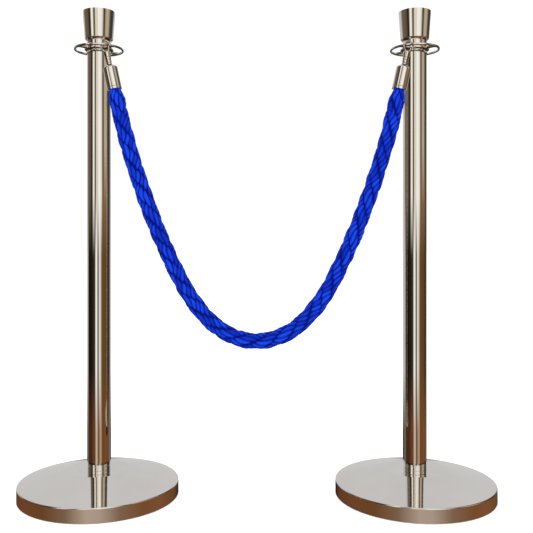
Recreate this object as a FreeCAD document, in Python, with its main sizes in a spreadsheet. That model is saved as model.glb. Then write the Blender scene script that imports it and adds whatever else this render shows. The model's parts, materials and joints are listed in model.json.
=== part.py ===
import FreeCAD, Part
import math
import os
import re
import Sketcher

# A rope barrier set: two free-standing polished posts and a hanging rope with a snap hook at each end.
# Millimetres. +Z is up, the floor is z = 0, the origin is midway between the two posts and +X runs from
# the left post to the right one. The rope hangs on the -Y side.

Vector = FreeCAD.Vector
Rotation = FreeCAD.Rotation
Placement = FreeCAD.Placement

X_AXIS = Vector(1, 0, 0)
Y_AXIS = Vector(0, 1, 0)
Z_AXIS = Vector(0, 0, 1)

DIMENSIONS = {
    # the pair of posts
    "post_spacing": 640.0,
    # base: a cast weight under a spun cover, standing on a rubber ring
    "base_radius": 160.0,
    "cover_thickness": 0.9,
    "cover_bottom": 1.2,
    "cover_shoulder": 28.6,
    "cover_top": 54.0,
    "flat_radius": 61.0,
    "cover_hole_radius": 7.0,
    "cover_edge_round": 2.2,
    "weight_gap": 0.3,
    "weight_bottom": 4.0,
    "weight_wall": 11.0,
    "weight_bevel": 1.0,
    "weight_draft": 2.0,
    "boss_radius": 24.0,
    "boss_bottom": 33.0,
    "boss_draft": 4.0,
    "floor_ring_width": 16.0,
    "floor_ring_gap": 0.5,
    "floor_ring_bevel": 1.5,
    "floor_ring_bevel_level": 1.0,
    # post
    "tube_radius": 23.8,
    "tube_wall": 1.2,
    "tube_bottom": 69.0,
    "tube_top": 899.0,
    "collar_radius": 23.2,
    "collar_bevel": 0.6,
    "collar_groove_level": 61.5,
    "collar_groove_half": 0.7,
    "collar_groove_depth": 0.8,
    "spigot_length": 30.0,
    "spigot_bevel": 2.0,
    "spigot_roof": 4.0,
    "base_stud_radius": 6.0,
    "base_stud_length": 78.0,
    "base_stud_reach": 3.0,
    "stud_bevel": 1.0,
    "nut_flats": 19.0,
    "nut_height": 10.0,
    "washer_radius": 20.0,
    "washer_height": 3.0,
    "washer_play": 0.5,
    "nut_bevel": 0.4,
    "plug_length": 30.0,
    "plug_bevel": 2.0,
    "head_stud_radius": 5.0,
    "head_stud_length": 62.0,
    "head_stud_play": 0.2,
    "head_stud_start": 2.0,
    "head_nut_flats": 16.0,
    "head_nut_height": 8.0,
    # rope ring: a plate with four slots
    "ring_radius": 50.0,
    "ring_thickness": 4.2,
    "band_width": 5.0,
    "hub_radius": 29.0,
    "spoke_width": 7.5,
    "ring_edge_round": 1.5,
    "slot_corner_round": 2.5,
    # neck and crown
    "neck_height": 14.0,
    "neck_bevel": 0.5,
    "crown_bottom": 917.2,
    "crown_foot_radius": 28.5,
    "crown_foot_level": 921.5,
    "crown_rim_radius": 32.3,
    "crown_rim_level": 976.0,
    "crown_wall": 1.6,
    "crown_foot_round": 2.0,
    "crown_floor": 5.0,
    "lid_height": 5.0,
    "lid_seat": 3.0,
    "lid_lip": 1.4,
    "lid_wall": 1.4,
    "lid_seat_gap": 0.4,
    # rope end: ferrule, swivel stud and snap hook, along an axis that leans by rope_lean
    "hook_offset": 21.0,
    "hook_forward": 42.6,
    "hook_level": 901.1,
    "rope_lean": 12.0,
    "hook_turn": 19.5,
    "ferrule_radius": 14.5,
    "ferrule_top": -41.9,
    "ferrule_bottom": -91.0,
    "ferrule_crown": 5.2,
    "ferrule_shoulder": 7.5,
    "rope_socket_radius": 12.6,
    "rope_socket_depth": 30.0,
    "head_room_radius": 9.0,
    "ferrule_neck_hole": 3.6,
    "ferrule_groove_depth": 0.5,
    "ferrule_groove_level": 4.9,
    "ferrule_groove_half": 0.5,
    "stud_radius": 3.5,
    "stud_head_radius": 7.5,
    "stud_head_height": 5.0,
    "stud_grip": 14.0,
    "swivel_gap": 0.3,
    "barrel_bottom": -40.9,
    "barrel_top": -14.3,
    "barrel_foot_radius": 5.2,
    "barrel_head_radius": 7.0,
    "barrel_groove_depth": 0.7,
    "barrel_groove_half": 0.8,
    "barrel_groove_floor_half": 0.4,
    "barrel_shoulder_level": 2.5,
    "barrel_bevel_level": 0.8,
    "barrel_shoulder_bevel": 0.7,
    "barrel_crown_bevel": 2.2,
    "wire_radius": 1.6,
    "wire_root": 1.5,
    "loop_half_width": 10.1,
    "leg_start": 4.3,
    "bend_rise": 12.2,
    "tip_level": -6.2,
    "pivot_offset": 4.4,
    "pivot_level": -15.0,
    "gate_radius": 1.25,
    "gate_knuckle_radius": 2.1,
    "gate_length": 9.6,
    "gate_lean": 13.0,
    "gate_slot_width": 3.2,
    "gate_slot_depth": 3.1,
    "gate_pin_radius": 0.8,
    "gate_pin_play": 0.08,
    "gate_pin_length": 10.5,
    "gate_side_play": 0.2,
    "gate_slot_margin": 0.5,
    "gate_spring_radius": 1.0,
    "gate_spring_wire": 0.35,
    "gate_spring_length": 5.2,
    "gate_spring_offset": 3.5,
    "gate_spring_play": 0.25,
    "gate_spring_lift": 0.275,
    "gate_spring_headroom": 1.3,
    # rope
    "rope_diameter": 30.0,
    "rope_tail_radius": 12.3,
    "rope_tail_length": 28.0,
    "rope_tail_overlap": 3.0,
    "rope_end_gap": 0.3,
    "screw_radius": 1.9,
    "screw_length": 9.0,
    "screw_point": 2.0,
    "screw_play": 0.05,
    "screw_head_radius": 3.6,
    "screw_head_height": 1.4,
    "screw_head_bevel": 0.9,
    "screw_head_lift": 0.02,
    "screw_hole_play": 0.25,
    "screw_hole_start": 4.5,
    "screw_level": -76.0,
}

# The rope's route seen from the front, from the left ferrule's mouth down and up to the right one: (x, z).
ROPE_ROUTE = [
    (-280.1, 812.0),
    (-258.0, 714.0),
    (-216.5, 586.0),
    (-172.5, 479.0),
    (-125.5, 390.0),
    (-67.0, 331.0),
    (0.0, 312.0),
    (67.0, 331.0),
    (125.5, 390.0),
    (172.5, 479.0),
    (216.5, 586.0),
    (258.0, 714.0),
    (280.1, 812.0),
]
# an arc reaches along this share of the shorter run beside it
ARC_SHARE = 0.45
GATE_SPRING_RINGS = 7
# how far up the barrel each groove lies, as shares of the barrel's height
BARREL_GROOVES = (0.12, 0.34, 0.56)

document = FreeCAD.newDocument("rope_barrier")


def make_sheet():
    """The driving dimensions, one row each: name, value."""
    sheet = document.addObject("Spreadsheet::Sheet", "Sizes")
    for row, (name, size) in enumerate(DIMENSIONS.items(), start=1):
        sheet.set(f"A{row}", name)
        sheet.set(f"B{row}", str(size))
        sheet.setAlias(f"B{row}", name)
    document.recompute()
    return sheet


SHEET = make_sheet()


def size(name):
    return float(SHEET.get(name))


def bound(formula):
    """A formula over dimension names, written as an expression on the sheet's cells."""
    return re.sub(r"[a-z]\w*", lambda word: "Sizes." + word.group(0), formula)


def new_body(label):
    body = document.addObject("PartDesign::Body", label)
    body.Label = label
    return body


def origin_plane(body, role):
    for feature in body.Origin.OriginFeatures:
        if feature.Role == role:
            return feature
    raise ValueError(role)


def new_sketch(body, role, name, height=None):
    """A sketch on one of the body's own origin planes, or parallel to it at a bound height."""
    sketch = body.newObject("Sketcher::SketchObject", body.Name + "_" + name)
    sketch.AttachmentSupport = [(origin_plane(body, role), "")]
    sketch.MapMode = "FlatFace"
    if height is not None:
        sketch.setExpression("AttachmentOffset.Base.z", bound(height))
    return sketch


def bind_point(sketch, line, end, across, up):
    """Ties one end of a line to bound coordinates, starting from where it is drawn."""
    drawn = sketch.getPoint(line, end)
    for kind, start, formula in (("DistanceX", drawn.x, across), ("DistanceY", drawn.y, up)):
        number = sketch.addConstraint(Sketcher.Constraint(kind, line, end, start))
        sketch.setExpression(f"Constraints[{number}]", bound(formula))


def closed_outline(sketch, corners):
    """A closed polygon whose corners are pairs of formulas."""
    count = len(corners)
    spots = [
        Vector(20, 20, 0) + Rotation(Z_AXIS, 360 * i / count).multVec(Vector(10, 0, 0))
        for i in range(count)
    ]
    for i in range(count):
        sketch.addGeometry(Part.LineSegment(spots[i], spots[(i + 1) % count]), False)
    for i in range(count):
        sketch.addConstraint(Sketcher.Constraint("Coincident", i, 2, (i + 1) % count, 1))
        bind_point(sketch, i, 1, *corners[i])


def turned(label, corners):
    """A body turned about its own Z axis from a closed outline of (radius, height) formulas."""
    body = new_body(label)
    sketch = new_sketch(body, "XZ_Plane", "profile")
    closed_outline(sketch, corners)
    turn = body.newObject("PartDesign::Revolution", label + "_turned")
    turn.Profile = sketch
    turn.ReferenceAxis = (sketch, ["V_Axis"])
    turn.Angle = 360
    document.recompute()
    return body


def circle_sketch(body, name, radius, role="XY_Plane", height=None, centre=("0", "0")):
    sketch = new_sketch(body, role, name, height)
    sketch.addGeometry(Part.Circle(Vector(1, 1, 0), Z_AXIS, 3.0), False)
    number = sketch.addConstraint(Sketcher.Constraint("Radius", 0, 3.0))
    sketch.setExpression(f"Constraints[{number}]", bound(radius))
    if centre == ("0", "0"):
        sketch.addConstraint(Sketcher.Constraint("Coincident", 0, 3, -1, 1))
    else:
        bind_point(sketch, 0, 3, *centre)
    return sketch


def pocket_through(body, sketch, name):
    """Cuts the sketch right through the body, both ways from its plane."""
    before = body.Shape.Volume
    pocket = body.newObject("PartDesign::Pocket", body.Name + "_" + name)
    pocket.Profile = sketch
    pocket.Type = "ThroughAll"
    pocket.Midplane = True
    document.recompute()
    if not body.Shape.Volume < before:
        raise RuntimeError(f"{body.Label}: {name} cuts nothing")
    return pocket


def dress(body, kind, name, edges, radius):
    """Fillets or chamfers the named edges of the body's tip."""
    base = body.Tip
    feature = body.newObject("PartDesign::" + kind, body.Name + "_" + name)
    feature.Base = (base, edges)
    feature.setExpression("Radius" if kind == "Fillet" else "Size", bound(radius))
    document.recompute()
    return feature


def edges_where(shape, test):
    return [f"Edge{i}" for i, edge in enumerate(shape.Edges, start=1) if test(edge)]


def is_circle(edge, radius, level):
    """True for an arc about the Z axis at the given radius and height."""
    curve = edge.Curve
    return (
        isinstance(curve, Part.Circle)
        and abs(curve.Radius - radius) < 0.01
        and abs(edge.CenterOfMass.z - level) < 0.01
    )


def primitive(kind, label, **formulas):
    """A Part primitive whose properties are bound to formulas."""
    thing = document.addObject("Part::" + kind, label)
    thing.Label = label
    for prop, formula in formulas.items():
        thing.setExpression(prop, bound(formula))
    return thing


def drilled(label, outer, inner):
    cut = document.addObject("Part::Cut", label)
    cut.Label = label
    cut.Base = outer
    cut.Tool = inner
    return cut


def hex_nut(label, flats, height, hole):
    """A hexagon nut standing on z = 0, with bevelled corners."""
    blank = primitive("Prism", label + "_blank", Circumradius=f"{flats} / 1.7320508", Height=height)
    bevel = primitive(
        "Cone",
        label + "_bevel",
        Radius1=f"{flats} * 0.5 + {height} * 1.3",
        Radius2=f"{flats} * 0.5 - nut_bevel",
        Height=height,
    )
    shaped = document.addObject("Part::Common", label + "_shaped")
    shaped.Base = blank
    shaped.Tool = bevel
    core = primitive("Cylinder", label + "_core", Radius=hole, Height=height)
    return drilled(label, shaped, core)


def make_base(side):
    """Cover, weight, floor ring and the bolt that pulls the base up against the foot collar."""
    cover = turned(
        side + "_base_cover",
        [
            ("cover_hole_radius", "cover_top"),
            ("flat_radius", "cover_top"),
            ("base_radius", "cover_shoulder"),
            ("base_radius", "cover_bottom"),
            ("base_radius - cover_thickness", "cover_bottom"),
            ("base_radius - cover_thickness", "cover_shoulder - cover_thickness"),
            ("flat_radius", "cover_top - cover_thickness"),
            ("cover_hole_radius", "cover_top - cover_thickness"),
        ],
    )
    shoulder = edges_where(
        cover.Shape, lambda edge: is_circle(edge, size("base_radius"), size("cover_shoulder"))
    )
    dress(cover, "Fillet", "edge_round", shoulder, "cover_edge_round")
    weight_radius = "base_radius - cover_thickness - weight_gap"
    weight_shoulder = "cover_shoulder - cover_thickness - weight_gap - weight_bevel"
    weight = turned(
        side + "_base_weight",
        [
            ("cover_hole_radius", "cover_top - cover_thickness"),
            ("flat_radius - weight_bevel", "cover_top - cover_thickness"),
            (weight_radius, weight_shoulder),
            (weight_radius, "weight_bottom"),
            ("base_radius - weight_wall - weight_draft", "weight_bottom"),
            ("base_radius - weight_wall - weight_draft * 2", "cover_shoulder - weight_wall"),
            ("flat_radius", "cover_top - cover_thickness - weight_wall"),
            ("boss_radius + boss_draft", "cover_top - cover_thickness - weight_wall"),
            ("boss_radius", "boss_bottom"),
            ("cover_hole_radius", "boss_bottom"),
        ],
    )
    ring_outer = "base_radius - cover_thickness - floor_ring_gap"
    ring_inner = ring_outer + " - floor_ring_width"
    floor_ring = turned(
        side + "_base_floor_ring",
        [
            (ring_inner, "weight_bottom"),
            (ring_outer, "weight_bottom"),
            (ring_outer, "floor_ring_bevel_level"),
            (ring_outer + " - floor_ring_bevel", "0"),
            (ring_inner + " + floor_ring_bevel", "0"),
            (ring_inner, "floor_ring_bevel_level"),
        ],
    )
    stud_foot = "boss_bottom - washer_height - nut_height - base_stud_reach"
    stud = turned(
        side + "_base_stud",
        [
            ("0", stud_foot),
            ("base_stud_radius - stud_bevel", stud_foot),
            ("base_stud_radius", stud_foot + " + stud_bevel"),
            ("base_stud_radius", stud_foot + " + base_stud_length - stud_bevel"),
            ("base_stud_radius - stud_bevel", stud_foot + " + base_stud_length"),
            ("0", stud_foot + " + base_stud_length"),
        ],
    )
    washer = turned(
        side + "_base_washer",
        [
            ("base_stud_radius + washer_play", "boss_bottom - washer_height"),
            ("washer_radius", "boss_bottom - washer_height"),
            ("washer_radius", "boss_bottom"),
            ("base_stud_radius + washer_play", "boss_bottom"),
        ],
    )
    nut = hex_nut(side + "_base_nut", "nut_flats", "nut_height", "base_stud_radius")
    nut.setExpression("Placement.Base.z", bound("boss_bottom - washer_height - nut_height"))
    return [cover, weight, floor_ring, stud, washer, nut]


def make_mast(side):
    """Foot collar, tube and the plug in the tube's top."""
    collar_top = "tube_bottom"
    spigot_radius = "tube_radius - tube_wall"
    spigot_top = "tube_bottom + spigot_length"
    groove_radius = "collar_radius - collar_groove_depth"
    bore_top = "tube_bottom + spigot_length - spigot_roof"
    collar = turned(
        side + "_foot_collar",
        [
            ("base_stud_radius", "cover_top"),
            ("collar_radius - collar_bevel", "cover_top"),
            ("collar_radius", "cover_top + collar_bevel"),
            ("collar_radius", "collar_groove_level - collar_groove_half"),
            (groove_radius, "collar_groove_level"),
            ("collar_radius", "collar_groove_level + collar_groove_half"),
            ("collar_radius", collar_top),
            (spigot_radius, collar_top),
            (spigot_radius, spigot_top + " - spigot_bevel"),
            (spigot_radius + " - spigot_bevel", spigot_top),
            ("0", spigot_top),
            ("0", bore_top),
            ("base_stud_radius", bore_top),
        ],
    )
    tube = turned(
        side + "_post_tube",
        [
            (spigot_radius, "tube_bottom"),
            ("tube_radius", "tube_bottom"),
            ("tube_radius", "tube_top"),
            (spigot_radius, "tube_top"),
        ],
    )
    plug_bottom = "tube_top - plug_length"
    plug = turned(
        side + "_head_plug",
        [
            ("head_stud_radius", plug_bottom),
            (spigot_radius + " - plug_bevel", plug_bottom),
            (spigot_radius, plug_bottom + " + plug_bevel"),
            (spigot_radius, "tube_top"),
            ("head_stud_radius", "tube_top"),
        ],
    )
    return [collar, tube, plug]


def make_rope_ring(side):
    """The plate that the rope hooks onto: a hub, four spokes and a round band with four slots between."""
    ring = new_body(side + "_rope_ring")
    outline = circle_sketch(ring, "outline", "ring_radius", height="tube_top")
    pad = ring.newObject("PartDesign::Pad", ring.Name + "_plate")
    pad.Profile = outline
    pad.setExpression("Length", bound("ring_thickness"))
    document.recompute()
    pocket_through(ring, circle_sketch(ring, "bore", "head_stud_radius + head_stud_play"), "bore_cut")

    # one slot on the +X side: two arcs about the axis, closed by the sides of the spokes at 45 degrees
    slot = new_sketch(ring, "XY_Plane", "slot")
    inner = size("hub_radius")
    outer = size("ring_radius") - size("band_width")
    half = math.radians(38)
    low = [Vector(r * math.cos(half), -r * math.sin(half), 0) for r in (inner, outer)]
    high = [Vector(r * math.cos(half), r * math.sin(half), 0) for r in (inner, outer)]
    circle = Part.Circle(Vector(0, 0, 0), Z_AXIS, inner)
    slot.addGeometry(Part.ArcOfCircle(circle, -half, half), False)
    circle = Part.Circle(Vector(0, 0, 0), Z_AXIS, outer)
    slot.addGeometry(Part.ArcOfCircle(circle, -half, half), False)
    slot.addGeometry(Part.LineSegment(low[0], low[1]), False)
    slot.addGeometry(Part.LineSegment(high[0], high[1]), False)
    sides = (("hub_radius", inner), ("ring_radius - band_width", outer))
    for arc, (radius, start) in enumerate(sides):
        slot.addConstraint(Sketcher.Constraint("Coincident", arc, 3, -1, 1))
        number = slot.addConstraint(Sketcher.Constraint("Radius", arc, start))
        slot.setExpression(f"Constraints[{number}]", bound(radius))
    for line, arc_end, angle in ((2, 1, -45), (3, 2, 45)):
        slot.addConstraint(Sketcher.Constraint("Coincident", 0, arc_end, line, 1))
        slot.addConstraint(Sketcher.Constraint("Coincident", 1, arc_end, line, 2))
        slot.addConstraint(Sketcher.Constraint("Angle", line, math.radians(angle)))
        half_spoke = size("spoke_width") / 2
        number = slot.addConstraint(Sketcher.Constraint("Distance", -1, 1, line, half_spoke))
        slot.setExpression(f"Constraints[{number}]", bound("spoke_width / 2"))
    cut = pocket_through(ring, slot, "slot_cut")
    slots = ring.newObject("PartDesign::PolarPattern", ring.Name + "_slots")
    slots.Originals = [cut]
    slots.Axis = (slot, ["N_Axis"])
    slots.Angle = 360
    slots.Occurrences = 4
    ring.Tip = slots
    document.recompute()

    corners = edges_where(
        ring.Shape,
        lambda edge: edge.BoundBox.ZLength > 1
        and inner - 0.01 < math.hypot(edge.CenterOfMass.x, edge.CenterOfMass.y) < outer + 0.01,
    )
    dress(ring, "Fillet", "slot_corners", corners, "slot_corner_round")
    bore = size("head_stud_radius") + size("head_stud_play")
    rims = edges_where(
        ring.Shape,
        lambda edge: abs(edge.BoundBox.ZLength) < 1e-6
        and not (isinstance(edge.Curve, Part.Circle) and abs(edge.Curve.Radius - bore) < 0.01),
    )
    dress(ring, "Fillet", "edge_rounds", rims, "ring_edge_round")
    return ring


def make_head(side):
    """Neck, crown, lid and the stud and nut that clamp them down on the ring and the plug."""
    neck_bottom = "tube_top + ring_thickness"
    neck_top = neck_bottom + " + neck_height"
    neck = turned(
        side + "_neck_collar",
        [
            ("head_stud_radius + head_stud_play", neck_bottom),
            ("tube_radius - neck_bevel", neck_bottom),
            ("tube_radius", neck_bottom + " + neck_bevel"),
            ("tube_radius", neck_top),
            ("head_stud_radius + head_stud_play", neck_top),
        ],
    )
    floor_top = "crown_bottom + crown_floor"
    crown = turned(
        side + "_crown",
        [
            ("head_stud_radius + head_stud_play", "crown_bottom"),
            ("tube_radius", "crown_bottom"),
            ("crown_foot_radius", "crown_foot_level"),
            ("crown_rim_radius", "crown_rim_level"),
            ("crown_rim_radius - crown_wall", "crown_rim_level"),
            ("crown_foot_radius - crown_wall", floor_top),
            ("head_stud_radius + head_stud_play", floor_top),
        ],
    )
    waist = edges_where(
        crown.Shape, lambda edge: is_circle(edge, size("crown_foot_radius"), size("crown_foot_level"))
    )
    dress(crown, "Fillet", "foot_round", waist, "crown_foot_round")
    lid = make_lid(side)
    stud_bottom = "tube_top - plug_length + head_stud_start"
    stud_top = stud_bottom + " + head_stud_length"
    stud = turned(
        side + "_head_stud",
        [
            ("0", stud_bottom),
            ("head_stud_radius", stud_bottom),
            ("head_stud_radius", stud_top + " - stud_bevel"),
            ("head_stud_radius - stud_bevel", stud_top),
            ("0", stud_top),
        ],
    )
    nut = hex_nut(side + "_head_nut", "head_nut_flats", "head_nut_height", "head_stud_radius")
    nut.setExpression("Placement.Base.z", bound(floor_top))
    return [neck, crown, lid, stud, nut]


def make_lid(side):
    """A shallow dome that presses into the crown's mouth and covers its rim."""
    lid = new_body(side + "_crown_lid")
    sketch = new_sketch(lid, "XZ_Plane", "profile")
    seat_radius = "crown_rim_radius - crown_wall - lid_seat_gap"
    corners = [
        ("0", "crown_rim_level + lid_height"),
        ("crown_rim_radius", "crown_rim_level + lid_lip"),
        ("crown_rim_radius", "crown_rim_level"),
        (seat_radius, "crown_rim_level"),
        (seat_radius, "crown_rim_level - lid_seat"),
        (seat_radius + " - lid_wall", "crown_rim_level - lid_seat"),
        (seat_radius + " - lid_wall", "crown_rim_level"),
        ("0", "crown_rim_level + lid_height - lid_wall"),
    ]
    rim = size("crown_rim_radius")
    level = size("crown_rim_level")
    top = level + size("lid_height")
    lip = level + size("lid_lip")
    dome = Part.Arc(Vector(0, top, 0), Vector(rim / 2, (3 * top + lip) / 4, 0), Vector(rim, lip, 0))
    sketch.addGeometry(dome, False)
    spots = [Vector(rim + i, level - i, 0) for i in range(len(corners) - 1)]
    for first, second in zip(spots, spots[1:]):
        sketch.addGeometry(Part.LineSegment(first, second), False)
    sketch.addGeometry(Part.LineSegment(spots[-1], Vector(0, top, 0)), False)
    # the arc is drawn anticlockwise, so its first end is the rim and its second the axis
    last = len(corners) - 1
    sketch.addConstraint(Sketcher.Constraint("Coincident", 0, 1, 1, 1))
    for line in range(1, last):
        sketch.addConstraint(Sketcher.Constraint("Coincident", line, 2, line + 1, 1))
    sketch.addConstraint(Sketcher.Constraint("Coincident", last, 2, 0, 2))
    bind_point(sketch, 0, 2, *corners[0])
    for line in range(1, last + 1):
        bind_point(sketch, line, 1, *corners[line])
    sketch.addConstraint(Sketcher.Constraint("PointOnObject", 0, 3, -2))
    turn = lid.newObject("PartDesign::Revolution", lid.Name + "_turned")
    turn.Profile = sketch
    turn.ReferenceAxis = (sketch, ["V_Axis"])
    turn.Angle = 360
    document.recompute()
    return lid


def make_ferrule(side):
    """The turned cap on the rope's end: rope socket, room for the stud's head and a domed shoulder."""
    groove = "ferrule_radius - ferrule_groove_depth"
    groove_level = "ferrule_bottom + ferrule_groove_level"
    ferrule = turned(
        side + "_ferrule",
        [
            ("ferrule_neck_hole", "ferrule_top"),
            ("ferrule_radius - ferrule_shoulder", "ferrule_top"),
            ("ferrule_radius", "ferrule_top - ferrule_crown"),
            ("ferrule_radius", groove_level + " + ferrule_groove_half"),
            (groove, groove_level),
            ("ferrule_radius", groove_level + " - ferrule_groove_half"),
            ("ferrule_radius", "ferrule_bottom"),
            ("rope_socket_radius", "ferrule_bottom"),
            ("rope_socket_radius", "ferrule_bottom + rope_socket_depth"),
            ("head_room_radius", "ferrule_bottom + rope_socket_depth"),
            ("head_room_radius", "ferrule_top - ferrule_crown"),
            ("ferrule_neck_hole", "ferrule_top - ferrule_crown"),
        ],
    )
    shoulder = edges_where(
        ferrule.Shape,
        lambda edge: is_circle(edge, size("ferrule_radius"), size("ferrule_top") - size("ferrule_crown"))
        or is_circle(edge, size("ferrule_radius") - size("ferrule_shoulder"), size("ferrule_top")),
    )
    dress(ferrule, "Fillet", "shoulder_round", shoulder, "ferrule_crown - 1")
    hole = circle_sketch(
        ferrule, "screw_hole", "screw_radius", role="XZ_Plane", centre=("0", "screw_level")
    )
    whole = ferrule.Shape
    cut = ferrule.newObject("PartDesign::Pocket", ferrule.Name + "_screw_cut")
    cut.Profile = hole
    cut.Type = "Length"
    cut.setExpression("Length", bound("ferrule_radius + 2"))
    document.recompute()
    removed = whole.cut(ferrule.Shape).Solids
    if not removed or removed[0].CenterOfMass.y <= 0:
        raise RuntimeError("the screw hole is not in the ferrule's back")
    return ferrule


def make_screw(side):
    """A short cross screw from the ferrule's back into the rope's end."""
    head_seat = "ferrule_radius + screw_head_lift"
    return turned(
        side + "_ferrule_screw",
        [
            ("0", head_seat + " - screw_length"),
            ("screw_radius - screw_play", head_seat + " - screw_length + screw_point"),
            ("screw_radius - screw_play", head_seat),
            ("screw_head_radius", head_seat),
            ("screw_head_radius - screw_head_bevel", head_seat + " + screw_head_height"),
            ("0", head_seat + " + screw_head_height"),
        ],
    )


def make_stud(side):
    """The swivel stud: its head turns inside the ferrule, its shank is pressed into the hook's barrel."""
    head_top = "ferrule_top - ferrule_crown - swivel_gap"
    return turned(
        side + "_swivel_stud",
        [
            ("0", head_top + " - stud_head_height"),
            ("stud_head_radius", head_top + " - stud_head_height"),
            ("stud_head_radius", head_top),
            ("stud_radius", head_top),
            ("stud_radius", "barrel_bottom + stud_grip"),
            ("0", "barrel_bottom + stud_grip"),
        ],
    )


def make_hook(side):
    """The snap hook: a grooved tapering barrel and a round wire bent into an open loop."""
    step = "(barrel_top - barrel_bottom)"
    rise = "(barrel_head_radius - barrel_foot_radius)"
    grooves = []
    for share in BARREL_GROOVES:
        radius = f"barrel_foot_radius + {share} * {rise}"
        level = f"barrel_bottom + {share} * {step}"
        grooves.append((radius, level + " - barrel_groove_half"))
        grooves.append((radius + " - barrel_groove_depth", level + " - barrel_groove_floor_half"))
        grooves.append((radius + " - barrel_groove_depth", level + " + barrel_groove_floor_half"))
        grooves.append((radius, level + " + barrel_groove_half"))
    hook = turned(
        side + "_hook_body",
        [
            ("stud_radius", "barrel_bottom"),
            ("barrel_foot_radius", "barrel_bottom"),
            *grooves,
            ("barrel_head_radius", "barrel_top - barrel_shoulder_level"),
            ("barrel_head_radius - barrel_shoulder_bevel", "barrel_top - barrel_bevel_level"),
            ("barrel_head_radius - barrel_crown_bevel", "barrel_top"),
            ("0", "barrel_top"),
            ("0", "barrel_bottom + stud_grip"),
            ("stud_radius", "barrel_bottom + stud_grip"),
        ],
    )
    slot = new_sketch(hook, "XZ_Plane", "gate_slot")
    slot_inside = "pivot_offset - gate_knuckle_radius - gate_slot_margin"
    closed_outline(
        slot,
        [
            (slot_inside, "barrel_top - gate_slot_depth"),
            ("barrel_head_radius * 2", "barrel_top - gate_slot_depth"),
            ("barrel_head_radius * 2", "barrel_top + gate_slot_depth"),
            (slot_inside, "barrel_top + gate_slot_depth"),
        ],
    )
    cut = hook.newObject("PartDesign::Pocket", hook.Name + "_slot_cut")
    cut.Profile = slot
    cut.setExpression("Length", bound("gate_slot_width"))
    cut.Midplane = True
    document.recompute()
    pin_hole = circle_sketch(
        hook, "pin_hole", "gate_pin_radius", role="XZ_Plane", centre=("pivot_offset", "pivot_level")
    )
    pocket_through(hook, pin_hole, "pin_cut")
    spring_hole = circle_sketch(
        hook,
        "spring_hole",
        "gate_spring_radius + gate_spring_play",
        height="barrel_top - gate_slot_depth",
        centre=("gate_spring_offset", "0"),
    )
    cut = hook.newObject("PartDesign::Pocket", hook.Name + "_spring_cut")
    cut.Profile = spring_hole
    cut.Type = "Length"
    cut.setExpression("Length", bound("gate_spring_length"))
    document.recompute()
    bend_wire(hook)
    return hook


def bend_wire(hook):
    """Adds the loop: out of the barrel, over the top and down to the tip."""
    profile = circle_sketch(
        hook, "wire_section", "wire_radius", height="barrel_top - wire_root", centre=("-leg_start", "0")
    )
    path = new_sketch(hook, "XZ_Plane", "wire_path")
    start = Vector(-size("leg_start"), size("barrel_top") - size("wire_root"), 0)
    shift = size("loop_half_width") - size("leg_start")
    rise = size("bend_rise")
    # two equal arcs make the S bend: shift = 2 r (1 - cos a), rise = 2 r sin a
    angle = 2 * math.atan2(shift, rise)
    radius = rise / (2 * math.sin(angle))
    middle = start + Vector(-shift / 2, rise / 2, 0)
    first_centre = start + Vector(-radius, 0, 0)
    second_centre = start + Vector(-shift + radius, rise, 0)
    top_centre = Vector(0, second_centre.y, 0)
    loop = size("loop_half_width")
    pieces = [
        Part.ArcOfCircle(Part.Circle(first_centre, Z_AXIS, radius), 0, angle),
        Part.ArcOfCircle(Part.Circle(second_centre, Z_AXIS, radius), math.pi, math.pi + angle),
        Part.ArcOfCircle(Part.Circle(top_centre, Z_AXIS, loop), 0, math.pi),
        Part.LineSegment(Vector(loop, top_centre.y, 0), Vector(loop, size("tip_level"), 0)),
    ]
    for piece in pieces:
        path.addGeometry(piece, False)
    path.addConstraint(Sketcher.Constraint("Tangent", 0, 2, 1, 2))
    path.addConstraint(Sketcher.Constraint("Tangent", 1, 1, 2, 2))
    path.addConstraint(Sketcher.Constraint("Tangent", 2, 1, 3, 1))
    path.addConstraint(Sketcher.Constraint("Equal", 0, 1))
    path.addConstraint(Sketcher.Constraint("Vertical", 3))
    bind_point(path, 0, 1, "-leg_start", "barrel_top - wire_root")
    bind_point(path, 2, 2, "-loop_half_width", "barrel_top - wire_root + bend_rise")
    bind_point(path, 2, 3, "0", "barrel_top - wire_root + bend_rise")
    number = path.addConstraint(Sketcher.Constraint("DistanceY", 3, 2, size("tip_level")))
    path.setExpression(f"Constraints[{number}]", bound("tip_level"))
    document.recompute()
    if middle.distanceToPoint(path.Geometry[0].EndPoint) > 0.2:
        raise RuntimeError("the wire's S bend moved")
    pipe = hook.newObject("PartDesign::AdditivePipe", hook.Name + "_wire")
    pipe.Profile = profile
    pipe.Spine = (path, [])
    document.recompute()


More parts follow.
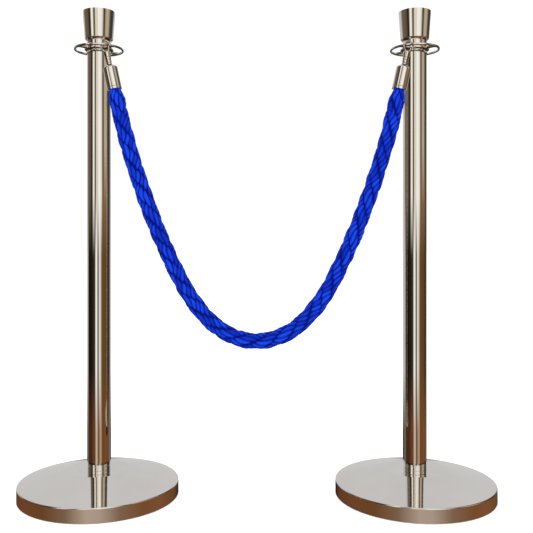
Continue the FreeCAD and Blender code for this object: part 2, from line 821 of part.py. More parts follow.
def make_gate(side):
    """The gate: a knuckle on the pin and a round finger that closes the hook's mouth from inside."""
    gate = document.addObject("Part::Cut", side + "_hook_gate")
    gate.Label = side + "_hook_gate"
    knuckle = primitive(
        "Cylinder",
        side + "_gate_knuckle",
        Radius="gate_knuckle_radius",
        Height="gate_slot_width - gate_side_play * 2",
    )
    knuckle.Placement = Placement(Vector(0, 0, 0), Rotation(X_AXIS, 90))
    knuckle.setExpression("Placement.Base.y", bound("gate_slot_width / 2 - gate_side_play"))
    finger = primitive("Cylinder", side + "_gate_finger", Radius="gate_radius", Height="gate_length")
    knob = primitive("Sphere", side + "_gate_knob", Radius="gate_radius")
    knob.setExpression("Placement.Base.z", bound("gate_length"))
    solid = document.addObject("Part::MultiFuse", side + "_gate_solid")
    solid.Shapes = [knuckle, finger, knob]
    bore = primitive(
        "Cylinder",
        side + "_gate_bore",
        Radius="gate_pin_radius + gate_pin_play",
        Height="gate_slot_width * 2",
    )
    bore.Placement = Placement(Vector(0, 0, 0), Rotation(X_AXIS, 90))
    bore.setExpression("Placement.Base.y", bound("gate_slot_width"))
    gate.Base = solid
    gate.Tool = bore
    return gate


def make_gate_pin(side):
    return primitive("Cylinder", side + "_gate_pin", Radius="gate_pin_radius", Height="gate_pin_length")


def make_gate_spring(side):
    """A small close-wound coil under the gate's knuckle, turned as a stack of joined rings."""
    height = "(gate_spring_length - gate_spring_headroom)"
    outer = []
    for ring in range(GATE_SPRING_RINGS):
        low, middle, high = ((ring + share) / GATE_SPRING_RINGS for share in (0.1, 0.5, 0.9))
        outer.append(("gate_spring_radius - gate_spring_wire / 2", f"{low} * {height}"))
        outer.append(("gate_spring_radius", f"{middle} * {height}"))
        outer.append(("gate_spring_radius - gate_spring_wire / 2", f"{high} * {height}"))
    core = "gate_spring_radius - gate_spring_wire"
    return turned(side + "_gate_spring", [(core, outer[0][1]), *outer, (core, outer[-1][1])])


def rope_solid():
    """The rope: straight runs joined by tangent arcs, with a thinner tail in each ferrule."""
    forward = -size("hook_forward")
    spots = [Vector(x, forward, z) for x, z in ROPE_ROUTE]
    lean = math.radians(size("rope_lean"))
    gap = size("rope_end_gap")
    spots[0] += Vector(math.sin(lean), 0, -math.cos(lean)) * gap
    spots[-1] += Vector(-math.sin(lean), 0, -math.cos(lean)) * gap
    edges = []
    length = 0.0
    here = spots[0]
    for before, corner, after in zip(spots, spots[1:], spots[2:]):
        back = (before - corner).normalize()
        ahead = (after - corner).normalize()
        half_turn = (math.pi - back.getAngle(ahead)) / 2
        radius = ARC_SHARE * min(corner.distanceToPoint(before), corner.distanceToPoint(after))
        radius /= math.tan(half_turn)
        reach = radius * math.tan(half_turn)
        start = corner + back * reach
        end = corner + ahead * reach
        inward = (back + ahead).normalize()
        middle = corner + inward * (radius / math.cos(half_turn) - radius)
        edges.append(Part.LineSegment(here, start).toShape())
        edges.append(Part.Arc(start, middle, end).toShape())
        length += here.distanceToPoint(start) + 2 * half_turn * radius
        here = end
        print(f"rope arc radius {radius:.0f} mm at x = {corner.x:.0f}")
    edges.append(Part.LineSegment(here, spots[-1]).toShape())
    length += here.distanceToPoint(spots[-1])
    radius = size("rope_diameter") / 2
    direction = (spots[1] - spots[0]).normalize()
    section = Part.Wire(Part.makeCircle(radius, spots[0], direction))
    tube = Part.Wire(edges).makePipeShell([section], True, False)
    expected = math.pi * radius**2 * length
    print(f"rope {length:.0f} mm long, volume {tube.Volume:.0f} against {expected:.0f} mm3")
    if abs(tube.Volume / expected - 1) > 0.01:
        raise RuntimeError("the rope's volume is not its section times its length")
    solid = tube
    overlap = size("rope_tail_overlap")
    for spot, sign in ((spots[0], -1), (spots[-1], 1)):
        up = Vector(sign * math.sin(lean), 0, math.cos(lean))
        tail = Part.makeCylinder(
            size("rope_tail_radius"), size("rope_tail_length") + overlap, spot - up * overlap, up
        )
        solid = solid.fuse(tail)
        level = size("screw_level") - size("ferrule_bottom") + gap
        hole_start = spot + up * level + Y_AXIS * size("screw_hole_start")
        hole = Part.makeCylinder(
            size("screw_radius") + size("screw_hole_play"), size("rope_diameter"), hole_start, Y_AXIS
        )
        solid = solid.cut(hole)
    return solid.removeSplitter()


def make_rope():
    rope = document.addObject("Part::Feature", "rope")
    rope.Label = "rope"
    rope.Shape = rope_solid()
    return rope


def place_hook_set(side, sign):
    """Makes one rope end and puts it on its ring. sign is -1 for the left end and +1 for the right."""
    spacing_half = size("post_spacing") / 2
    contact = Vector(
        sign * (spacing_half - size("hook_offset")), -size("hook_forward"), size("hook_level")
    )
    lean = Rotation(Y_AXIS, sign * size("rope_lean"))
    end_frame = Placement(contact, lean)
    hook_frame = Placement(contact, lean * Rotation(Z_AXIS, sign * size("hook_turn")))
    ferrule = make_ferrule(side)
    ferrule.Placement = end_frame
    screw = make_screw(side)
    screw.Placement = end_frame * Placement(
        Vector(0, 0, size("screw_level")), Rotation(X_AXIS, -90)
    )
    stud = make_stud(side)
    stud.Placement = hook_frame
    hook = make_hook(side)
    hook.Placement = hook_frame
    pivot = Vector(size("pivot_offset"), 0, size("pivot_level"))
    gate = make_gate(side)
    gate.Placement = hook_frame * Placement(pivot, Rotation(Y_AXIS, size("gate_lean")))
    pin = make_gate_pin(side)
    half_pin = Vector(0, size("gate_pin_length") / 2, 0)
    pin.Placement = hook_frame * Placement(pivot + half_pin, Rotation(X_AXIS, 90))
    spring = make_gate_spring(side)
    spring_floor = size("barrel_top") - size("gate_slot_depth") - size("gate_spring_length")
    spring_foot = Vector(size("gate_spring_offset"), 0, spring_floor + size("gate_spring_lift"))
    spring.Placement = hook_frame * Placement(spring_foot, Rotation())
    return [ferrule, screw, stud, hook, gate, pin, spring]


def make_post(side, sign):
    pieces = make_base(side) + make_mast(side) + [make_rope_ring(side)] + make_head(side)
    for piece in pieces:
        piece.setExpression("Placement.Base.x", bound(f"{sign} * post_spacing / 2"))
    return pieces


def check_objects():
    for thing in document.Objects:
        if "Invalid" in thing.State or "Error" in thing.State:
            raise RuntimeError(f"{thing.Label} is in state {thing.State}")


def write_parts(nodes):
    for node in nodes:
        shape = node.Shape
        if shape.isNull() or not shape.isValid() or not shape.Solids:
            raise RuntimeError(f"{node.Label} has no valid solid")
    os.makedirs("parts", exist_ok=True)
    for node in nodes:
        node.Shape.exportStep(os.path.join("parts", node.Label + ".step"))


def main():
    nodes = make_post("left", -1) + make_post("right", 1)
    nodes += place_hook_set("left", -1) + place_hook_set("right", 1)
    nodes.append(make_rope())
    document.recompute()
    check_objects()
    write_parts(nodes)
    print(f"{len(nodes)} nodes written")


main()
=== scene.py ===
import json
import math

import bpy
import numpy as np
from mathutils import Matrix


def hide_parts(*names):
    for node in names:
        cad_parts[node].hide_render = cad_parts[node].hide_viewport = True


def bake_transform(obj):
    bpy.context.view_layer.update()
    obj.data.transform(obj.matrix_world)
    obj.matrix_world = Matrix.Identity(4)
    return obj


# A rope barrier set: the CAD posts and hooks dressed in metal, iron and rubber, and a laid rope with raised
# yarns in place of the plain CAD rope. Metres, +Z up, the floor at z = 0, the rope on the -Y side.

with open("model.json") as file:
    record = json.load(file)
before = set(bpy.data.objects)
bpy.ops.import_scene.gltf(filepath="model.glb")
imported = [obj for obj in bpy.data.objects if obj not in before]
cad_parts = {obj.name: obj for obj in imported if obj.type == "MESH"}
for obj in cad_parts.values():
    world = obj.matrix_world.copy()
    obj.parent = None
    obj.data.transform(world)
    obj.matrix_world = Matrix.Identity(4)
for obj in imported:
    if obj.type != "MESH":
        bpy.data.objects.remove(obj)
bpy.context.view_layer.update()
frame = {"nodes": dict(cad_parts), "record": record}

# ---------------------------------------------------------------- camera

CAMERA_PLACE = (0.0, -1.501, 0.515)
LENS_MM = 50.0
SENSOR_MM = 36.0
SHIFT_X = 0.018
SHIFT_Y = -0.049
VIEW_REACH = 100.0


def make_camera():
    """A level camera in front of the rope, looking straight along +Y."""
    data = bpy.data.cameras.new("camera")
    data.lens = LENS_MM
    data.sensor_width = SENSOR_MM
    data.shift_x = SHIFT_X
    data.shift_y = SHIFT_Y
    data.clip_end = VIEW_REACH
    camera = bpy.data.objects.new("camera", data)
    camera.location = CAMERA_PLACE
    camera.rotation_euler = (math.radians(90), 0, 0)
    bpy.context.collection.objects.link(camera)
    bpy.context.scene.camera = camera


# ---------------------------------------------------------------- rope

ROPE_Y = -0.0426
# the rope's route from the left ferrule's mouth to the right one, seen from the front: (x, z)
ROPE_ROUTE = [
    (-0.2801, 0.812),
    (-0.258, 0.714),
    (-0.2165, 0.586),
    (-0.1725, 0.479),
    (-0.1255, 0.390),
    (-0.067, 0.331),
    (0.0, 0.312),
    (0.067, 0.331),
    (0.1255, 0.390),
    (0.1725, 0.479),
    (0.2165, 0.586),
    (0.258, 0.714),
    (0.2801, 0.812),
]
# the rope's ends, up inside the ferrules
TAIL_END = (0.2851, 0.8355)
# what hangs on each end of the rope
END_PIECES = (
    "ferrule",
    "ferrule_screw",
    "swivel_stud",
    "hook_body",
    "hook_gate",
    "gate_pin",
    "gate_spring",
)

ROUTE_RESOLUTION = 48
ROPE_STEP = 0.00105
# the strands lie in a helix; STRAND_SIDE is how far round each one, to either side, its surface shows
STRANDS = 4
STRAND_LAY = 0.160
STRAND_RADIUS = 0.0118
STRAND_OFFSET = 0.0049
STRAND_SIDE = math.radians(65)
STEPS_PER_STRAND = 28
# yarns lie across each strand, against its twist
YARNS_ROUND_STRAND = 7.4
YARN_PITCH = 0.0098
YARN_HEIGHT = 0.0024
YARN_SIZES = (0.70, 1.15)
YARN_SEED = 7
YARN_DRAWS = 997
LENS_END = 4
# each strand's yarns start this share of a yarn after those of the strand before it
STRAND_STAGGER = 0.37
# slow wandering of the strands (in radians) and of the yarns (in yarns) along the rope
DRIFT_LENGTH = 0.017
STRAND_DRIFT = 0.10
YARN_DRIFT = 0.35
YARN_DRIFT_RATE = 1.7
YARN_DRIFT_PHASE = 2.3
# the rope narrows to this share over its last stretch before each ferrule
MOUTH_SQUEEZE = 0.735
MOUTH_TAPER = 0.024


def route_points():
    """The rope's line, read from a smooth curve with the route as its control points."""
    spots = [(-TAIL_END[0], TAIL_END[1]), *ROPE_ROUTE, TAIL_END]
    data = bpy.data.curves.new("rope_line", "CURVE")
    data.dimensions = "3D"
    data.resolution_u = ROUTE_RESOLUTION
    spline = data.splines.new("NURBS")
    spline.points.add(len(spots) - 1)
    for point, (x, z) in zip(spline.points, spots):
        point.co = (x, ROPE_Y, z, 1.0)
    spline.order_u = 3
    spline.use_endpoint_u = True
    line = bpy.data.objects.new("rope_line", data)
    bpy.context.collection.objects.link(line)
    bpy.context.view_layer.update()
    mesh = bpy.data.meshes.new_from_object(line)
    points = np.array([vertex.co[:] for vertex in mesh.vertices])
    bpy.data.meshes.remove(mesh)
    bpy.data.objects.remove(line)
    return points


def even_steps(points, step):
    """The same line with its points evenly spaced, and each point's distance along it."""
    gaps = np.linalg.norm(np.diff(points, axis=0), axis=1)
    along = np.concatenate([[0.0], np.cumsum(gaps)])
    count = int(round(along[-1] / step)) + 1
    distance = np.linspace(0.0, along[-1], count)
    spaced = np.stack([np.interp(distance, along, points[:, i]) for i in range(3)], axis=1)
    return spaced, distance


def smooth_step(low, high, value):
    """0 below low, 1 above high, and an even curve between."""
    t = np.clip((value - low) / (high - low), 0.0, 1.0)
    return t * t * (3 - 2 * t)


def rope_section(distance):
    """The rope's outline at each distance: offsets along Y and upwards, the yarns, and their height."""
    local = np.linspace(-STRAND_SIDE, STRAND_SIDE, STEPS_PER_STRAND + 1)[:-1]
    local = np.tile(local, STRANDS)[None, :]
    strand = np.repeat(np.arange(STRANDS), STEPS_PER_STRAND)[None, :]
    s = distance[:, None]
    turn = 2 * math.pi * (strand / STRANDS - s / STRAND_LAY)
    turn = turn + STRAND_DRIFT * np.sin(s / DRIFT_LENGTH + strand)
    yarn = YARNS_ROUND_STRAND * local / (2 * math.pi) - s / YARN_PITCH + STRAND_STAGGER * strand
    yarn_drift = np.sin(YARN_DRIFT_RATE * s / DRIFT_LENGTH + YARN_DRIFT_PHASE * strand)
    yarn = yarn + YARN_DRIFT * yarn_drift
    number = np.floor(yarn).astype(int)
    across = 2 * (yarn - number) - 1
    sizes = np.random.default_rng(YARN_SEED).uniform(*YARN_SIZES, YARN_DRAWS)
    # a yarn is a lens: rounded across, and rounded off where it dives between two strands
    along = np.abs(local) / STRAND_SIDE
    lens = np.sqrt(np.clip(1 - across**2 - along**LENS_END, 0.0, 1.0)) * sizes[number % YARN_DRAWS]
    radius = STRAND_RADIUS - YARN_HEIGHT * (1 - lens)
    out = STRAND_OFFSET + radius * np.cos(local)
    aside = radius * np.sin(local)
    u = out * np.cos(turn) - aside * np.sin(turn)
    v = out * np.sin(turn) + aside * np.cos(turn)
    return u, v, yarn, lens


def mouth_squeeze(centre, distance):
    """How much of its full width the rope has at each distance: less where it goes into the ferrules."""
    mouth_height = ROPE_ROUTE[0][1]
    off_mouth = np.abs(centre[:, 2] - mouth_height)[: len(centre) // 2]
    exit_at = distance[np.argmin(off_mouth)]
    from_mouth = np.minimum(distance, distance[-1] - distance) - exit_at
    return MOUTH_SQUEEZE + (1 - MOUTH_SQUEEZE) * smooth_step(0.0, MOUTH_TAPER, from_mouth)


def tube_faces(rings, columns):
    """The quads of a tube of so many rings, each with so many points."""
    ring = np.arange(rings - 1)[:, None] * columns
    column = np.arange(columns)[None, :]
    following = (column + 1) % columns
    corners = [
        ring + column,
        ring + following,
        ring + columns + following,
        ring + columns + column,
    ]
    return np.stack(corners, axis=2).reshape(-1, 4)


def make_rope():
    """A laid rope as one skin: four strands in a helix, each with twisted yarns standing in relief."""
    centre, distance = even_steps(route_points(), ROPE_STEP)
    tangent = np.gradient(centre, axis=0)
    tangent /= np.linalg.norm(tangent, axis=1)[:, None]
    side = np.broadcast_to(np.array([0.0, 1.0, 0.0]), tangent.shape)
    up = np.cross(tangent, side)

    u, v, yarn, lens = rope_section(distance)
    squeeze = mouth_squeeze(centre, distance)[:, None]
    forwards = (u * squeeze)[:, :, None] * side[:, None, :]
    upwards = (v * squeeze)[:, :, None] * up[:, None, :]
    places = centre[:, None, :] + forwards + upwards
    rings, columns = places.shape[:2]

    mesh = bpy.data.meshes.new("blue_rope")
    mesh.from_pydata(places.reshape(-1, 3).tolist(), [], tube_faces(rings, columns).tolist())
    mesh.update()
    mesh.polygons.foreach_set("use_smooth", [True] * len(mesh.polygons))

    height = mesh.attributes.new("yarn_height", "FLOAT", "POINT")
    height.data.foreach_set("value", lens.reshape(-1).astype(np.float32))

    # along the rope in centimetres, and across it in yarns
    layer = mesh.uv_layers.new(name="yarn")
    corner = np.zeros(len(mesh.loops), dtype=np.int64)
    mesh.loops.foreach_get("vertex_index", corner)
    uv = np.stack([distance[corner // columns] * 100, yarn.reshape(-1)[corner]], axis=1)
    layer.data.foreach_set("uv", uv.reshape(-1).astype(np.float32))

    rope = bpy.data.objects.new("blue_rope", mesh)
    bpy.context.collection.objects.link(rope)
    return rope, [tuple(point) for point in centre.tolist()]


# ---------------------------------------------------------------- shader nodes


class Shader:
    """The node tree of a material or a world, with short ways to add nodes and links."""

    def __init__(self, owner):
        owner.use_nodes = True
        self.owner = owner
        self.tree = owner.node_tree
        self.surface = self.tree.nodes.get("Principled BSDF")

    def node(self, kind, **settings):
        made = self.tree.nodes.new(kind)
        for key, value in settings.items():
            setattr(made, key, value)
        return made

    def feed(self, node, socket, value):
        """Links another node's output to a socket, or sets the socket to a constant."""
        if isinstance(value, bpy.types.NodeSocket):
            self.tree.links.new(value, node.inputs[socket])
        else:
            node.inputs[socket].default_value = value

    def feed_colour(self, node, socket, colour):
        is_socket = isinstance(colour, bpy.types.NodeSocket)
        self.feed(node, socket, colour if is_socket else (*colour, 1.0))

    def math(self, operation, first, second=0.0):
        made = self.node("ShaderNodeMath", operation=operation)
        self.feed(made, 0, first)
        self.feed(made, 1, second)
        return made.outputs[0]

    def noise(self, vector, scale, detail=3.0, roughness=0.5):
        made = self.node("ShaderNodeTexNoise")
        self.feed(made, "Vector", vector)
        self.feed(made, "Scale", scale)
        self.feed(made, "Detail", detail)
        self.feed(made, "Roughness", roughness)
        return made.outputs["Fac"]

    def spread(self, value, low, high, to_low=0.0, to_high=1.0):
        """One range of values spread over another, and held at its ends."""
        made = self.node("ShaderNodeMapRange")
        self.feed(made, "Value", value)
        self.feed(made, "From Min", low)
        self.feed(made, "From Max", high)
        self.feed(made, "To Min", to_low)
        self.feed(made, "To Max", to_high)
        return made.outputs["Result"]

    def ramp(self, value, stops):
        """Colours by value, from stops of (position, colour)."""
        made = self.node("ShaderNodeValToRGB")
        elements = made.color_ramp.elements
        while len(elements) < len(stops):
            elements.new(0.5)
        for element, (position, colour) in zip(elements, stops):
            element.position = position
            element.color = (*colour, 1.0)
        self.feed(made, "Fac", value)
        return made.outputs["Color"]

    def mix(self, share, first, second):
        made = self.node("ShaderNodeMix", data_type="RGBA")
        self.feed(made, 0, share)
        # a mix node has sockets for each kind of value, and these are the ones for colours
        self.feed_colour(made, 6, first)
        self.feed_colour(made, 7, second)
        return made.outputs[2]

    def bump(self, height, strength, distance):
        made = self.node("ShaderNodeBump")
        self.feed(made, "Height", height)
        self.feed(made, "Strength", strength)
        self.feed(made, "Distance", distance)
        return made.outputs["Normal"]

    def scaled(self, vector, scale):
        made = self.node("ShaderNodeMapping")
        self.feed(made, "Vector", vector)
        made.inputs["Scale"].default_value = scale
        return made.outputs["Vector"]

    def stretched(self, scale=(1, 1, 1)):
        """Object coordinates scaled unevenly, for grain that runs one way."""
        return self.scaled(self.node("ShaderNodeTexCoord").outputs["Object"], scale)


# ---------------------------------------------------------------- materials

METALS = {
    "polished_stainless": {
        "colour": (0.90, 0.885, 0.86),
        "roughness": 0.035,
        "grain": (1, 1, 0.04),
    },
    "hook_chrome": {
        "colour": (0.92, 0.91, 0.89),
        "roughness": 0.06,
        "grain_scale": 500.0,
        "wear": 0.03,
        "bump": 0.04,
    },
    "zinc_plated_steel": {
        "colour": (0.60, 0.60, 0.57),
        "roughness": 0.30,
        "grain": (1, 1, 0.2),
        "wear": 0.08,
        "bump": 0.15,
    },
    "turned_aluminium": {
        "colour": (0.75, 0.75, 0.76),
        "roughness": 0.28,
        "grain": (0.1, 0.1, 1),
        "wear": 0.05,
        "bump": 0.15,
    },
    "spring_steel": {
        "colour": (0.42, 0.42, 0.43),
        "roughness": 0.25,
        "wear": 0.05,
        "bump": 0.1,
    },
}
DULL_SURFACES = {
    "cast_iron": {
        "dark": (0.018, 0.018, 0.019),
        "light": (0.045, 0.043, 0.042),
        "roughness": 0.55,
        "scale": 420.0,
        "bump": 0.6,
    },
    "rubber": {
        "dark": (0.012, 0.012, 0.012),
        "light": (0.028, 0.028, 0.028),
        "roughness": 0.75,
        "scale": 700.0,
        "bump": 0.3,
    },
}
# noise keeps to the middle of 0 to 1, so this part of it is spread over the whole range
NOISE_RANGE = (0.3, 0.7)
GRAIN_SCALE = 900.0
SMEAR_SCALE = 9.0
SMEAR_RANGE = (0.35, 0.75)
GLOSS_VARIATION = 0.25
WORN_SHADE = 0.94
METAL_GRAIN_DEPTH = 0.0002
GRAINS_PER_PATCH = 14
DULL_VARIATION = 0.1
DULL_GRAIN_DEPTH = 0.0006
# filaments run along each yarn, so their noise is stretched that way
FILAMENT_STRETCH = (0.6, 16.0, 1.0)
FILAMENT_RANGE = (0.35, 0.70)
FILAMENT_TONES = (-0.14, 0.20)
FILAMENT_DEPTH = 0.0004
FADED_PATCH_SCALE = 60.0
FADED_PATCH_TONES = (0.06, -0.10)
ROPE_ROUGHNESS = (0.38, 0.55)
ROPE_SHINE = 0.04
# the rope's blues, from the creases between yarns to their crests: painted shade in the creases and a
# painted highlight on the crests
ROPE_PAINTED_SHADE_BLUES = [
    (0.0, (0.0001, 0.0030, 0.120)),
    (0.30, (0.0003, 0.0060, 0.200)),
    (0.65, (0.0010, 0.0170, 0.350)),
    (1.0, (0.0040, 0.0460, 0.600)),
]


def metal(name, colour, roughness, grain=(1, 1, 1), grain_scale=GRAIN_SCALE, wear=0.02, bump=0.02):
    """A polished or brushed metal: uneven gloss, faint smears and fine grain that runs one way."""
    shader = Shader(bpy.data.materials.new(name))
    body = shader.surface
    body.inputs["Metallic"].default_value = 1.0
    fine = shader.noise(shader.stretched(grain), grain_scale, 4.0, 0.6)
    broad = shader.noise(shader.stretched(), SMEAR_SCALE, 3.0, 0.55)
    smear = shader.spread(broad, *SMEAR_RANGE, 0.0, wear)
    least = roughness * (1 - GLOSS_VARIATION)
    most = roughness * (1 + GLOSS_VARIATION)
    grained = shader.spread(fine, *NOISE_RANGE, least, most)
    shader.feed(body, "Roughness", shader.math("ADD", grained, smear))
    worn = tuple(c * WORN_SHADE for c in colour)
    shader.feed(body, "Base Color", shader.mix(shader.spread(broad, *NOISE_RANGE), colour, worn))
    shader.feed(body, "Normal", shader.bump(fine, bump, METAL_GRAIN_DEPTH))
    return shader.owner


def dull_surface(name, dark, light, roughness, scale, bump):
    """A dull surface with a fine random grain: painted cast iron and moulded rubber."""
    shader = Shader(bpy.data.materials.new(name))
    body = shader.surface
    grain = shader.noise(shader.stretched(), scale, 5.0, 0.65)
    broad = shader.noise(shader.stretched(), scale / GRAINS_PER_PATCH, 2.0, 0.5)
    shader.feed(body, "Base Color", shader.mix(shader.spread(broad, *NOISE_RANGE), dark, light))
    least = roughness - DULL_VARIATION
    most = roughness + DULL_VARIATION
    shader.feed(body, "Roughness", shader.spread(grain, *NOISE_RANGE, least, most))
    shader.feed(body, "Normal", shader.bump(grain, bump, DULL_GRAIN_DEPTH))
    return shader.owner


def rope_material():
    """Satin blue fibre: painted shade darkens the creases between yarns and a painted highlight lightens
    their crests, streaked along each yarn.
    """
    shader = Shader(bpy.data.materials.new("blue_rope"))
    body = shader.surface
    yarn_place = shader.node("ShaderNodeUVMap", uv_map="yarn").outputs["UV"]
    filament = shader.noise(shader.scaled(yarn_place, FILAMENT_STRETCH), 1.0, 2.0, 0.6)
    broad = shader.noise(shader.stretched(), FADED_PATCH_SCALE, 3.0, 0.6)
    # the yarn's height picks the blue: painted shade in the creases and a painted highlight on the crests
    level = shader.node("ShaderNodeAttribute", attribute_name="yarn_height").outputs["Fac"]
    streak = shader.spread(filament, *FILAMENT_RANGE, *FILAMENT_TONES)
    level = shader.math("ADD", level, streak)
    patch = shader.spread(broad, *NOISE_RANGE, *FADED_PATCH_TONES)
    level = shader.math("ADD", level, patch)
    shader.feed(body, "Base Color", shader.ramp(level, ROPE_PAINTED_SHADE_BLUES))
    shader.feed(body, "Roughness", shader.spread(filament, *NOISE_RANGE, *ROPE_ROUGHNESS))
    shader.feed(body, "Normal", shader.bump(filament, 0.4, FILAMENT_DEPTH))
    body.inputs["Specular IOR Level"].default_value = ROPE_SHINE
    return shader.owner


def dress_frame():
    """Gives each CAD node the material of its slot."""
    materials = {name: metal(name, **look) for name, look in METALS.items()}
    for name, look in DULL_SURFACES.items():
        materials[name] = dull_surface(name, **look)
    slot_of = {entry["node"]: entry["material_slot"] for entry in frame["record"]["subparts"]}
    for node, thing in frame["nodes"].items():
        if slot_of[node] in materials:
            thing.data.materials.clear()
            thing.data.materials.append(materials[slot_of[node]])
        # the tubes mirror the studio only, not the small hardware close to them
        if node.endswith(END_PIECES):
            thing.visible_glossy = False


# ---------------------------------------------------------------- studio

FLOOR_REACH = 30.0
FLOOR_SHADES = ((0.90, 0.90, 0.90), (0.93, 0.93, 0.925))
FLOOR_SPECKLE_SCALE = 40.0
FLOOR_ROUGHNESS = 0.9
FLOOR_GLOW = 0.35

ROOM_LIGHT = (1.08, 1.08, 1.08)
PALE = (0.62, 0.61, 0.61)
DARK = (0.020, 0.013, 0.009)
CURTAIN_COLOUR = (0.27, 0.145, 0.070)
# What polished metal sees of the studio, by direction. Each list goes once round the object, in degrees
# from straight in front of it (0), with its left negative and its right positive.
WALLS = [
    (-150, PALE),
    (-130, (0.58, 0.56, 0.52)),
    (-116, (0.16, 0.13, 0.10)),
    (-86, (0.14, 0.095, 0.063)),
    (-73, (0.10, 0.075, 0.038)),
    (-64, (0.020, 0.016, 0.007)),
    (-55, (0.020, 0.016, 0.010)),
    (-46, (0.95, 0.93, 0.88)),
    (-36, (0.95, 0.93, 0.88)),
    (-29, (0.17, 0.13, 0.10)),
    (-20, (0.09, 0.07, 0.05)),
    (-14, (0.85, 0.76, 0.57)),
    (0, (0.78, 0.66, 0.53)),
    (8, (1.0, 0.99, 0.96)),
    (32, (0.88, 0.87, 0.84)),
    (42, (0.42, 0.34, 0.27)),
    (47, (0.060, 0.045, 0.022)),
    (54, (0.065, 0.048, 0.022)),
    (60, (0.42, 0.34, 0.22)),
    (73, (0.54, 0.44, 0.30)),
    (88, (0.46, 0.36, 0.23)),
    (98, (0.10, 0.08, 0.06)),
    (118, (0.030, 0.028, 0.026)),
    (136, (0.10, 0.09, 0.085)),
    (150, PALE),
]
LOW_WALLS = [
    (-150, PALE),
    (-116, (0.45, 0.43, 0.40)),
    (-106, (0.006, 0.005, 0.002)),
    (-60, (0.014, 0.010, 0.006)),
    (-34, (0.040, 0.028, 0.020)),
    (-26, (0.10, 0.08, 0.06)),
    (-20, (0.95, 0.93, 0.88)),
    (-8, (0.97, 0.95, 0.90)),
    (-2, (0.13, 0.11, 0.085)),
    (7, (0.16, 0.13, 0.10)),
    (13, (0.83, 0.80, 0.72)),
    (22, (0.83, 0.80, 0.72)),
    (34, (0.27, 0.19, 0.12)),
    (44, (0.125, 0.066, 0.014)),
    (66, (0.140, 0.068, 0.014)),
    (86, (0.11, 0.052, 0.022)),
    (118, (0.035, 0.022, 0.014)),
    (132, (0.10, 0.08, 0.07)),
    (150, PALE),
]
FAR_FLOOR = [
    (-150, DARK),
    (-118, (0.20, 0.16, 0.13)),
    (-100, (0.060, 0.026, 0.012)),
    (-60, (0.080, 0.024, 0.006)),
    (-46, (0.14, 0.055, 0.028)),
    (-26, (0.13, 0.060, 0.035)),
    (-17, (0.62, 0.45, 0.32)),
    (-6, (0.64, 0.47, 0.34)),
    (2, (0.16, 0.10, 0.055)),
    (10, (0.13, 0.070, 0.032)),
    (18, (0.40, 0.28, 0.19)),
    (32, (0.46, 0.33, 0.23)),
    (41, (0.17, 0.075, 0.028)),
    (56, (0.175, 0.062, 0.016)),
    (73, (0.22, 0.080, 0.024)),
    (100, (0.18, 0.075, 0.026)),
    (118, (0.12, 0.060, 0.030)),
    (130, (0.30, 0.25, 0.20)),
    (150, DARK),
]
NEAR_FLOOR = [
    (-172, DARK),
    (-150, (0.12, 0.050, 0.020)),
    (-105, (0.17, 0.065, 0.025)),
    (-70, (0.155, 0.063, 0.022)),
    (-35, (0.22, 0.125, 0.070)),
    (-5, (0.46, 0.36, 0.28)),
    (12, (0.44, 0.34, 0.27)),
    (40, (0.23, 0.135, 0.080)),
    (75, (0.20, 0.080, 0.030)),
    (105, (0.22, 0.085, 0.035)),
    (150, (0.13, 0.055, 0.022)),
    (172, DARK),
]
FLOOR_AT_THE_FEET = [
    (-150, DARK),
    (-60, (0.050, 0.028, 0.015)),
    (10, (0.060, 0.035, 0.020)),
    (38, (0.24, 0.095, 0.045)),
    (90, (0.18, 0.070, 0.030)),
    (118, (0.045, 0.022, 0.012)),
    (150, DARK),
]
CURTAIN_PLACE = [
    (42, (0, 0, 0)),
    (58, (1, 1, 1)),
    (92, (1, 1, 1)),
    (112, (0, 0, 0)),
]
# Where one list gives way to the next: the upward part of the direction, from none of it to all of it.
FEET_BELOW = (-0.45, -0.62)
NEAR_FLOOR_BELOW = (-0.292, -0.304)
FLOOR_BELOW = (-0.17, -0.245)
WALLS_ABOVE = (-0.02, 0.06)
CURTAIN_BELOW = (0.12, 0.05)
CEILING_ABOVE = (0.80, 0.97)
CREVICE_DARKNESS = 0.85

LIGHT_AIM = (0.0, 0.0, 0.5)
LIGHTS = {
    "key": {"place": (-1.6, -2.2, 2.6), "power": 30.0, "size": 1.6},
    "fill": {"place": (2.2, -1.4, 2.0), "power": 14.0, "size": 1.8},
}


def make_floor():
    """A pale floor like a light table: it glows a little, so shadows on it stay faint."""
    mesh = bpy.data.meshes.new("floor")
    signs = [(-1, -1), (1, -1), (1, 1), (-1, 1)]
    corners = [(x * FLOOR_REACH, y * FLOOR_REACH, 0) for x, y in signs]
    mesh.from_pydata(corners, [], [(0, 1, 2, 3)])
    floor = bpy.data.objects.new("floor", mesh)
    bpy.context.collection.objects.link(floor)
    shader = Shader(bpy.data.materials.new("floor"))
    speckle = shader.noise(shader.stretched(), FLOOR_SPECKLE_SCALE)
    shader.feed(shader.surface, "Base Color", shader.mix(speckle, *FLOOR_SHADES))
    shader.surface.inputs["Roughness"].default_value = FLOOR_ROUGHNESS
    shader.surface.inputs["Specular IOR Level"].default_value = 0.0
    shader.surface.inputs["Emission Color"].default_value = (1.0, 1.0, 1.0, 1.0)
    shader.surface.inputs["Emission Strength"].default_value = FLOOR_GLOW
    mesh.materials.append(shader.owner)
    floor.visible_glossy = False


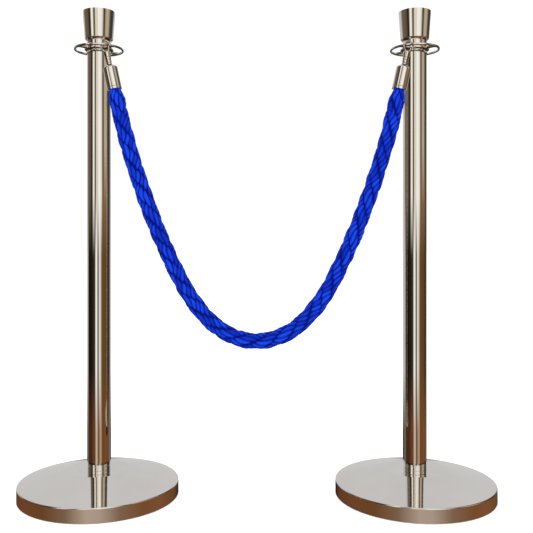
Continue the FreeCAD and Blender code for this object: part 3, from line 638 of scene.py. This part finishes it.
def make_world():
    """Soft white light all round, while polished metal sees pale walls, dark flags and a brown floor."""
    world = bpy.data.worlds.new("studio")
    bpy.context.scene.world = world
    shader = Shader(world)
    direction = shader.node("ShaderNodeTexCoord").outputs["Generated"]
    parts = shader.node("ShaderNodeSeparateXYZ")
    shader.feed(parts, 0, direction)
    x, y, z = parts.outputs
    around = shader.math("ARCTAN2", x, shader.math("MULTIPLY", y, -1.0))
    around = shader.spread(around, -math.pi, math.pi)
    light_path = shader.node("ShaderNodeLightPath").outputs

    def bands(stops):
        return shader.ramp(around, [(0.5 + degrees / 360, colour) for degrees, colour in stops])

    # a brown curtain on the right, up to a little over eye level
    at_curtain = shader.math("MULTIPLY", bands(CURTAIN_PLACE), shader.spread(z, *CURTAIN_BELOW))
    high = shader.mix(at_curtain, bands(WALLS), CURTAIN_COLOUR)
    high = shader.mix(shader.spread(z, *CEILING_ABOVE), high, PALE)
    near = shader.mix(shader.spread(z, *FEET_BELOW), bands(NEAR_FLOOR), bands(FLOOR_AT_THE_FEET))
    ground = shader.mix(shader.spread(z, *NEAR_FLOOR_BELOW), bands(FAR_FLOOR), near)
    # a second reflection towards the floor comes out of a crevice, which is dark
    in_crevice = shader.spread(light_path["Glossy Depth"], 1.0, 2.0, 0.0, CREVICE_DARKNESS)
    ground = shader.mix(in_crevice, ground, DARK)
    lower = shader.mix(shader.spread(z, *FLOOR_BELOW), bands(LOW_WALLS), ground)
    seen = shader.mix(shader.spread(z, *WALLS_ABOVE), lower, high)
    colour = shader.mix(light_path["Is Glossy Ray"], ROOM_LIGHT, seen)
    background = shader.tree.nodes["Background"]
    shader.feed(background, "Color", colour)
    background.inputs["Strength"].default_value = 1.0


def make_lights():
    """Two soft lights in front, turned towards the middle of the object."""
    for name, look in LIGHTS.items():
        data = bpy.data.lights.new(name, "AREA")
        data.energy = look["power"]
        data.size = look["size"]
        light = bpy.data.objects.new(name, data)
        light.location = look["place"]
        aim = np.array(LIGHT_AIM) - np.array(look["place"])
        tilt = math.atan2(math.hypot(aim[0], aim[1]), -aim[2])
        turn = math.atan2(aim[1], aim[0]) - math.pi / 2
        light.rotation_euler = (tilt, 0.0, turn)
        light.visible_glossy = False
        bpy.context.collection.objects.link(light)


# ---------------------------------------------------------------- assembly

make_camera()
rope, rope_path = make_rope()
rope.data.materials.append(rope_material())
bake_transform(rope)
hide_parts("rope")
# polished metal mirrors the studio and not the rope
rope.visible_glossy = False

dress_frame()
make_floor()
make_world()
make_lights()

scene = bpy.context.scene
scene.view_settings.view_transform = "Standard"
